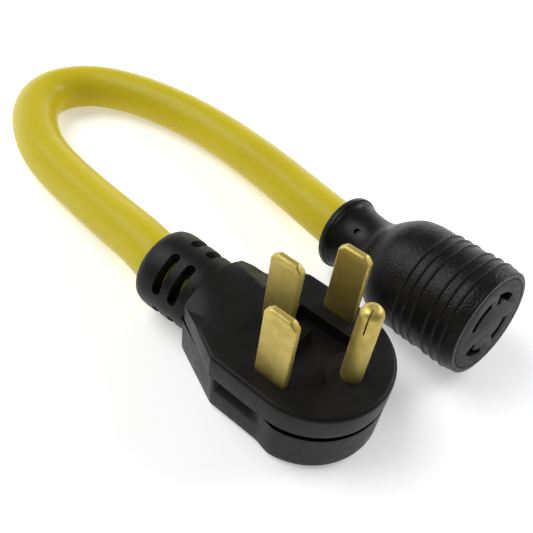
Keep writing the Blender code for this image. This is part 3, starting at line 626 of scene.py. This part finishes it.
def make_camera():
    """Camera at CAMERA_AT looking at CAMERA_AIM, turned about its own axis by CAMERA_ROLL."""
    data = bpy.data.cameras.new("camera")
    data.lens = CAMERA_LENS
    data.sensor_width = 36.0
    data.clip_start = 0.01
    camera = bpy.data.objects.new("camera", data)
    ahead = (CAMERA_AIM - CAMERA_AT).normalized()
    level = ahead.cross(Vector((0.0, 0.0, 1.0))).normalized()
    up = level.cross(ahead)
    c, s = math.cos(CAMERA_ROLL), math.sin(CAMERA_ROLL)
    rows = Matrix((c * level + s * up, c * up - s * level, -ahead)).transposed()
    camera.matrix_world = Matrix.Translation(CAMERA_AT) @ rows.to_4x4()
    bpy.context.scene.collection.objects.link(camera)
    bpy.context.scene.camera = camera


def area_light(name, location, aim, size, power):
    data = bpy.data.lights.new(name, "AREA")
    data.shape = "RECTANGLE"
    data.size, data.size_y = size
    data.energy = power
    data.color = WHITE
    light = bpy.data.objects.new(name, data)
    light.location = location
    light.rotation_euler = (Vector(aim) - Vector(location)).to_track_quat("-Z", "Y").to_euler()
    bpy.context.scene.collection.objects.link(light)


def make_stage():
    bm = bmesh.new()
    bmesh.ops.create_grid(bm, x_segments=4, y_segments=4, size=3.0)
    floor = link_mesh("floor", bm)
    floor.location = (0.0, 0.0, -0.05 * MM)
    floor.data.materials.append(floor_material())
    make_world()
    centre = (-0.05, 0.0, 0.0)
    area_light("key", (-0.55, -0.25, 0.75), centre, (0.7, 0.7), 6.5)
    area_light("fill", (0.55, -0.55, 0.55), centre, (0.5, 0.5), 0.12)
    area_light("back", (0.35, 0.75, 0.6), centre, (0.7, 0.3), 5.0)
    bpy.context.scene.view_settings.view_transform = "Standard"


# ---------------------------------------------------------------- cable

def make_cable(plug, connector, mat):
    """Round jacket from inside the plug's neck, along the route, to inside the connector's neck."""
    first = [plug @ Vector((x, 0.0, NECK_Z)) for x in CABLE_IN_PLUG]
    last = [connector @ Vector((0.0, 0.0, -behind)) for behind in CABLE_IN_CONNECTOR]
    points, length = smooth_path(first + [Vector(p) for p in CABLE_ROUTE] + last, CABLE_STEPS)
    curve = bpy.data.curves.new("cable", "CURVE")
    curve.dimensions = "3D"
    curve.bevel_depth = CABLE_RADIUS
    curve.bevel_resolution = 14
    curve.use_fill_caps = True
    spline = curve.splines.new("POLY")
    spline.points.add(len(points) - 1)
    for slot, point in zip(spline.points, points):
        slot.co = (*point, 1.0)
    curve.materials.append(mat)
    cable = bpy.data.objects.new("cable", curve)
    bpy.context.scene.collection.objects.link(cable)
    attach(cable, BODY)
    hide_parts("cable_jacket")


# ---------------------------------------------------------------- plug

def plug_corners():
    """The six corners of the plug body seen from above, before they are rounded."""
    return [
        (PLUG_FRONT, -PLUG_RADIUS),
        (PLUG_FRONT, PLUG_RADIUS),
        (SHOULDER_X, PLUG_RADIUS),
        (PLUG_BACK, PLUG_BACK_HALF),
        (PLUG_BACK, -PLUG_BACK_HALF),
        (SHOULDER_X, -PLUG_RADIUS),
    ]


def fade(value, start, end):
    """Smooth step from 0 at start to 1 at end, which may lie either way round."""
    s = max(0.0, min(1.0, (value - start) / (end - start)))
    return s * s * (3.0 - 2.0 * s)


def side_scoop(x, grip, waist):
    """How far the side comes in at x."""
    deep = grip * fade(x, GRIP_BACK, GRIP_BACK + GRIP_RAMP) * (1.0 - fade(x, *GRIP_FRONT))
    return deep + waist * fade(x, WAIST_FADE[1], WAIST_FADE[0])


def plug_outline(inset, grip=0.0, waist=0.0, side_steps=36):
    """Outline of the plug body moved in by inset, with the sides scooped by grip and waist."""
    corners = inset_corners(plug_corners(), inset)
    radii = [PLUG_RADIUS - inset] * 2 + [1.5 * MM, 1.2 * MM, 1.2 * MM, 1.5 * MM]
    steps = [28, 28, 5, 5, 5, 5]
    arcs = []
    for i, corner in enumerate(corners):
        arcs.append(round_corner(corner, corners[i - 1], corners[(i + 1) % 6], radii[i], steps[i]))
    arcs[1] = arcs[1][1:]                      # the two front arcs share their middle point
    points = []
    for i, arc in enumerate(arcs):
        points.extend(arc)
        if i in (1, 5):                        # the straight sides carry the grip
            ahead = arcs[(i + 1) % 6][0]
            points.extend(arc[-1].lerp(ahead, k / side_steps) for k in range(1, side_steps))
    longer, narrower = (LOWER_BACK, 0.0) if waist else (0.0, UPPER_BACK)
    moved = []
    for p in points:
        back = fade(p.x, SHOULDER_X, PLUG_BACK)
        side = p.y - math.copysign(side_scoop(p.x, grip, waist) + narrower * back, p.y)
        moved.append((p.x - longer * back, side))
    return moved


def quarter_fillet(radius, steps=7):
    """(inset, drop) pairs of a quarter-round edge from its flat face to its side."""
    turns = [0.5 * math.pi * k / steps for k in range(steps + 1)]
    return [(radius * (1.0 - math.sin(t)), radius * (1.0 - math.cos(t))) for t in turns]


def plug_levels():
    """(height, inset, grip, waist) of each cross-section of the plug body, from its face down."""
    levels = [(-drop, inset, 0.0, 0.0) for inset, drop in quarter_fillet(FACE_RIM)]
    for inset, drop in reversed(quarter_fillet(GROOVE_LIP)):
        levels.append((GROOVE_TOP + drop, inset, 0.0, 0.0))
    levels += [
        (GROOVE_TOP - 0.02 * MM, GROOVE_DEPTH, GRIP_DEPTH, 0.5 * WAIST_DEPTH),
        (GROOVE_BOTTOM + GROOVE_LIP, GROOVE_DEPTH, GRIP_DEPTH, 0.5 * WAIST_DEPTH),
    ]
    for inset, drop in quarter_fillet(GROOVE_LIP):
        levels.append((GROOVE_BOTTOM - drop, LOWER_INSET + inset, GRIP_DEPTH, WAIST_DEPTH))
    for k in range(17):
        z = GRIP_FLOOR + (GRIP_END - GRIP_FLOOR) * k / 16.0
        levels.append((z, LOWER_INSET, GRIP_DEPTH * fade(z, GRIP_END, GRIP_FLOOR), WAIST_DEPTH))
    for inset, drop in reversed(quarter_fillet(BASE_RIM)):
        levels.append((-PLUG_HEIGHT + drop, LOWER_INSET + inset, 0.0, WAIST_DEPTH))
    return levels


def plug_shell():
    """The plug body without its neck: one ring per level, from the face down to the base."""
    rings = []
    for z, inset, grip, waist in plug_levels():
        rings.append([(x, y, z) for x, y in plug_outline(inset, grip, waist)])
    return loft(rings)


def shoulder_height(x, y):
    """Height of the top behind the crease, where it turns from the flat face into the round neck."""
    share = max(0.0, (SLOPE_X - x) / (SLOPE_X - PLUG_BACK))
    crown = min(abs(y), PLUG_BACK_HALF)
    back = BACK_TOP - BACK_ARC + math.sqrt(BACK_ARC ** 2 - crown ** 2)
    past = y - (FAR_RIDGE[0] + (FAR_RIDGE[1] - FAR_RIDGE[0]) * min(share, 1.0))
    if abs(past) < RIDGE_ROUND:
        past = (past + RIDGE_ROUND) ** 2 / (4.0 * RIDGE_ROUND)
    fall = FAR_FALL * max(past, 0.0) * (1.0 - fade(share, 0.35, 1.0)) * fade(x, FAR_FRONT, SLOPE_X)
    return share * back - fall


def shoulder_stations(steps):
    """Places along X of the cutter's rings: from behind the body to the crease, then to FAR_FRONT."""
    start = PLUG_BACK - 2.0 * MM
    behind = [start + (SLOPE_X - start) * k / steps for k in range(steps)]
    ahead = [SLOPE_X + (FAR_FRONT - SLOPE_X) * k / (steps // 2) for k in range(steps // 2 + 1)]
    return behind + ahead


def shoulder_cutter(steps_x=28, steps_y=120):
    """Everything above the shoulder."""
    wide, top = 26.0 * MM, 8.0 * MM
    rings = []
    for x in shoulder_stations(steps_x):
        lift = 0.01 * MM if x >= SLOPE_X else 0.0
        ring = [(x, wide, top), (x, -wide, top)]
        for j in range(steps_y + 1):
            y = wide * (2.0 * j / steps_y - 1.0)
            ring.append((x, y, shoulder_height(x, y) + lift))
        rings.append(ring)
    return loft(rings)


def shoulder_filler():
    """Block that the shoulder is cut from where it rises above the face towards the neck."""
    half = 10.0 * MM
    outline = [
        (PLUG_BACK + 0.1 * MM, -half),
        (SLOPE_X - 0.1 * MM, -half),
        (SLOPE_X - 0.1 * MM, half),
        (PLUG_BACK + 0.1 * MM, half),
    ]
    return prism(outline, -3.0 * MM, 4.0 * MM)


def neck_ring(x, radius, steps=96):
    """Circle round the neck's axis at x."""
    turns = [2.0 * math.pi * (k + 0.5) / steps for k in range(steps)]
    return [(x, radius * math.sin(t), NECK_Z + radius * math.cos(t)) for t in turns]


def relief_slot(x, width, inner, middle):
    """Cutter for one rounded slot round the neck, centred on the angle middle from the top."""
    half_arc = RELIEF_SLOT_ARC / 2.0
    end_turn = 0.5 * width / (12.5 * MM)
    straight = half_arc - end_turn
    outline = [(x - width / 2, middle + straight * (k / 6.0 - 1.0)) for k in range(13)]
    for k in range(1, 10):
        turn = math.pi * k / 10.0
        outline.append((x - width / 2 * math.cos(turn), middle + straight + end_turn * math.sin(turn)))
    outline += [(x + width / 2, middle + straight * (1.0 - k / 6.0)) for k in range(13)]
    for k in range(1, 10):
        turn = math.pi * k / 10.0
        outline.append((x + width / 2 * math.cos(turn), middle - straight - end_turn * math.sin(turn)))
    rings = []
    for r in (inner, 18.0 * MM):
        rings.append([(px, r * math.sin(a), NECK_Z + r * math.cos(a)) for px, a in outline])
    return loft(rings)


def face_recess():
    """Sunken area of the face between the blades, leaving the neutral pad and the pin boss standing."""
    x0, x1 = RECESS_X
    rise = math.acos((PIN_X - x1) / BOSS_RADIUS)
    outline = [(x0, PAD_HALF), (PAD_X, PAD_HALF), (PAD_X, -PAD_HALF), (x0, -PAD_HALF),
               (x0, -RECESS_HALF), (x1, -RECESS_HALF)]
    for k in range(25):
        turn = math.pi + rise * (1.0 - k / 12.0)
        outline.append((PIN_X + BOSS_RADIUS * math.cos(turn), BOSS_RADIUS * math.sin(turn)))
    outline += [(x1, RECESS_HALF), (x0, RECESS_HALF)]
    return prism(outline, -RECESS_DEPTH, 5 * MM)


def prong_sockets():
    """Cutters for the holes that the prongs come out of."""
    low = BLADE_ROOT - 1 * MM
    high = 5 * MM
    half_w = BLADE_WIDTH / 2 + SNUG
    half_t = BLADE_THICK / 2 + SNUG
    holes = [prism(rectangle(0.0, side * HOT_Y, half_w, half_t), low, high) for side in (-1, 1)]
    holes.append(prism(rectangle(NEUTRAL_X, 0.0, half_w, half_t), low, high))
    pin = disc_stack([(PIN_RADIUS + SNUG, low), (PIN_RADIUS + SNUG, high)], 64)
    pin.transform(Matrix.Translation((PIN_X, 0.0, 0.0)))
    holes.append(pin)
    return holes


def make_plug_body(plug, mat):
    """Body and neck in one piece, cut for the shoulder, the cord, the face, the relief and the prongs."""
    body = link_mesh("plug_body", plug_shell())
    apply_boolean(body, link_mesh("filler", shoulder_filler()), "UNION")
    cut(body, shoulder_cutter())
    neck = loft([neck_ring(x, r) for x, r in NECK_PROFILE])
    apply_boolean(body, link_mesh("neck", neck), "UNION")
    cut(body, loft([neck_ring(x, CABLE_RADIUS + SNUG) for x in (-60 * MM, -30 * MM)]))
    cut(body, face_recess())
    for x, width, inner in RELIEF_RINGS:
        for quarter in range(4):
            cut(body, relief_slot(x, width, inner, math.radians(45 + 90 * quarter)))
    for hole in prong_sockets():
        cut(body, hole)
    drop_slivers(body)
    shade(body, 30)
    return place(body, plug, mat, "black_pvc", "plug_overmold")


def blade_section(z, w, t):
    """Cross-section of a blade of half width w and half thickness t, its four corners bevelled."""
    b = min(BLADE_EDGE, t * 0.6)
    return [(-w, -t + b, z), (-w + b, -t, z), (w - b, -t, z), (w, -t + b, z),
            (w, t - b, z), (w - b, t, z), (-w + b, t, z), (-w, t - b, z)]


def make_blade(name, node, x, y, plug, mat):
    """Flat blade with chamfered shoulders and a thinned tip."""
    half_w = BLADE_WIDTH / 2
    half_t = BLADE_THICK / 2
    tip = BLADE_CHAMFER
    rings = [
        blade_section(BLADE_ROOT, half_w, half_t),
        blade_section(BLADE_TOP - tip - 0.3 * MM, half_w, half_t),
        blade_section(BLADE_TOP - tip, half_w - 0.08 * MM, half_t),
        blade_section(BLADE_TOP - 0.5 * MM, half_w - tip + 0.4 * MM, half_t),
        blade_section(BLADE_TOP - 0.1 * MM, half_w - tip, half_t - 0.45 * MM),
        blade_section(BLADE_TOP, half_w - tip - 0.15 * MM, half_t - 0.6 * MM),
    ]
    blade = link_mesh(name, loft(rings))
    blade.data.transform(Matrix.Translation((x, y, 0.0)))
    soften_edges(blade, 0.1 * MM, 2, 25.0)
    shade(blade, 40)
    return place(blade, plug, mat, "brass", node)


def make_pin(plug, mat):
    """Round pin with a bullet tip, rolled from strip, so a slit runs down from the tip."""
    steps = 12
    last_turn = math.radians(85.7)
    levels = [(PIN_RADIUS, BLADE_ROOT), (PIN_RADIUS, PIN_TOP - PIN_NOSE)]
    for k in range(1, steps + 1):
        turn = last_turn * k / steps
        radius = PIN_RADIUS - PIN_NOSE_INSET * (1.0 - math.cos(turn))
        levels.append((radius, PIN_TOP - PIN_NOSE * (1.0 - math.sin(turn) / math.sin(last_turn))))
    pin = link_mesh("pin", disc_stack(levels, 72))
    across = rectangle(0.0, -2.4 * MM, PIN_SLIT / 2, 1.6 * MM)
    slit = prism(across, PIN_TOP - PIN_SLIT_LENGTH, PIN_TOP + 2 * MM)
    slit.transform(Matrix.Rotation(PIN_SLIT_TURN, 4, "Z"))
    cut(pin, slit)
    pin.data.transform(Matrix.Translation((PIN_X, 0.0, 0.0)))
    shade(pin, 35)
    return place(pin, plug, mat, "brass", "ground_pin")


# ---------------------------------------------------------------- connector

def rib_points(at):
    """Outside profile across one raised rib."""
    points = []
    for k in range(9):
        s = k / 4.0 - 1.0
        rise = RIB_HEIGHT * math.cos(0.5 * math.pi * s) ** 1.3
        points.append((BODY_RADIUS + rise, -(at + s * RIB_HALF)))
    return points


def connector_profile():
    """Closed outline of the connector body: outside from face to tail, then back up the inside."""
    rim = BODY_RADIUS - FACE_STEP
    outside = [(rim - inset, -drop) for inset, drop in quarter_fillet(FACE_EDGE, 4)]
    outside.append((rim, -FACE_STEP_AT[0]))
    outside.append((BODY_RADIUS, -FACE_STEP_AT[1]))
    for at in RIB_AT:
        outside += rib_points(at)
    bulb = [Vector((r, 0.0, -a)) for r, a in BULB_PROFILE]
    outside += [(p.x, p.z) for p in smooth_path(bulb, 60)[0]]
    outside += [(r, -a) for r, a in FLANGE_PROFILE]
    inside = [
        (CABLE_RADIUS + SNUG + 1.0 * MM, -TAIL_END),
        (CABLE_RADIUS + SNUG, -(TAIL_END - 0.8 * MM)),
        (CABLE_RADIUS + SNUG, -36.0 * MM),
        (DISC_RADIUS - 1.0 * MM, -30.0 * MM),
        (DISC_RADIUS - 1.0 * MM, -(DISC_THICK + 0.3 * MM)),
        (DISC_RADIUS + SNUG, -(DISC_THICK + 0.3 * MM)),
        (DISC_RADIUS + SNUG, -0.25 * MM),
        (DISC_RADIUS + SNUG + 0.25 * MM, 0.0),
    ]
    return outside + inside


def make_connector_body(connector, mat):
    """Barrel, bulb and neck turned in one piece, with the dimple drilled in from the side."""
    body = link_mesh("connector_body", revolve(connector_profile(), 160))
    dimple = disc_stack([(DIMPLE_RADIUS, DIMPLE_FLOOR), (DIMPLE_RADIUS, 13.0 * MM)], 32)
    spin = Matrix.Rotation(DIMPLE_TURN, 4, "Z") @ Matrix.Rotation(math.radians(-90), 4, "X")
    dimple.transform(Matrix.Translation((0.0, 0.0, -DIMPLE_AT)) @ spin)
    cut(body, dimple)
    drop_slivers(body)
    shade(body, 40)
    return place(body, connector, mat, "black_pvc", "connector_overmold")


def arc_outline(start, end, inner, outer, hook=0):
    """Outline of a curved slot between two angles; hook adds a short inward leg at one end."""
    middle = (inner + outer) / 2.0
    leg = math.degrees(2.4 * MM / middle)
    deep = inner - 1.5 * MM
    steps = 16

    def polar(radius, degrees):
        turn = math.radians(degrees)
        return (radius * math.cos(turn), radius * math.sin(turn))

    outline = [polar(outer, start + (end - start) * k / steps) for k in range(steps + 1)]
    inner_turns = [end + (start - end) * k / steps for k in range(steps + 1)]
    if hook > 0:
        outline += [polar(deep, end), polar(deep, end - leg)]
        inner_turns = [end - leg] + [t for t in inner_turns if t < end - leg - 1.0]
    if hook < 0:
        inner_turns = [t for t in inner_turns if t > start + leg + 1.0] + [start + leg]
    outline += [polar(inner, t) for t in inner_turns]
    if hook < 0:
        outline += [polar(deep, start + leg), polar(deep, start)]
    return outline


def make_connector_face(connector, mat):
    """Disc with the four curved slots, sitting in the mouth of the barrel."""
    levels = [(DISC_RADIUS, -DISC_THICK), (DISC_RADIUS, -0.3 * MM), (DISC_RADIUS - 0.3 * MM, 0.0)]
    face = link_mesh("connector_disc", disc_stack(levels, 160))
    for start, end, inner, outer, hook in SLOT_ARCS:
        cut(face, prism(arc_outline(start, end, inner, outer, hook), -8 * MM, 2 * MM))
    soften_edges(face, 0.12 * MM, 2, 40.0)
    shade(face, 35)
    return place(face, connector, mat, "black_nylon", "connector_face")


# ---------------------------------------------------------------- assembly

def dress_cad_nodes(materials):
    """Give each inner CAD piece the material whose key is part of its name."""
    for name, node in frame["nodes"].items():
        key = next((k for k in materials if k in name), None)
        if key:
            node.data.materials.clear()
            node.data.materials.append(materials[key])


def main():
    plug = plug_frame()
    connector = connector_frame()
    make_camera()
    make_cable(plug, connector, yellow_jacket())
    make_stage()
    smooth_pvc = moulded_pvc("black_pvc", SMOOTH_BLACK, 0.39, paint_groove_shade=True)
    grained_pvc = moulded_pvc("black_pvc_grained", GRAINED_BLACK, 0.31, 0.08 * MM, 0.6 * MM, GRAIN_END)
    nylon = moulded_pvc("black_nylon", NYLON_BLACK, 0.5, 0.03 * MM, 0.4 * MM)
    blade_brass = brass("brass")
    make_plug_body(plug, smooth_pvc)
    make_blade("blade_near", "hot_blade_1", 0.0, -HOT_Y, plug, blade_brass)
    make_blade("blade_far", "hot_blade_2", 0.0, HOT_Y, plug, blade_brass)
    make_blade("blade_neutral", "neutral_blade", NEUTRAL_X, 0.0, plug, blade_brass)
    make_pin(plug, blade_brass)
    make_connector_body(connector, grained_pvc)
    make_connector_face(connector, nylon)
    dress_cad_nodes({
        "crimp": tinned_copper(),
        "carrier": nylon,
        "contact_": brass("contact_brass", 0.2),
        "lead_black": insulation("black_insulation", (0.02, 0.02, 0.02)),
        "lead_red": insulation("red_insulation", (0.45, 0.02, 0.015)),
        "lead_white": insulation("white_insulation", (0.75, 0.75, 0.72)),
        "lead_green": insulation("green_insulation", (0.02, 0.25, 0.05)),
    })


main()
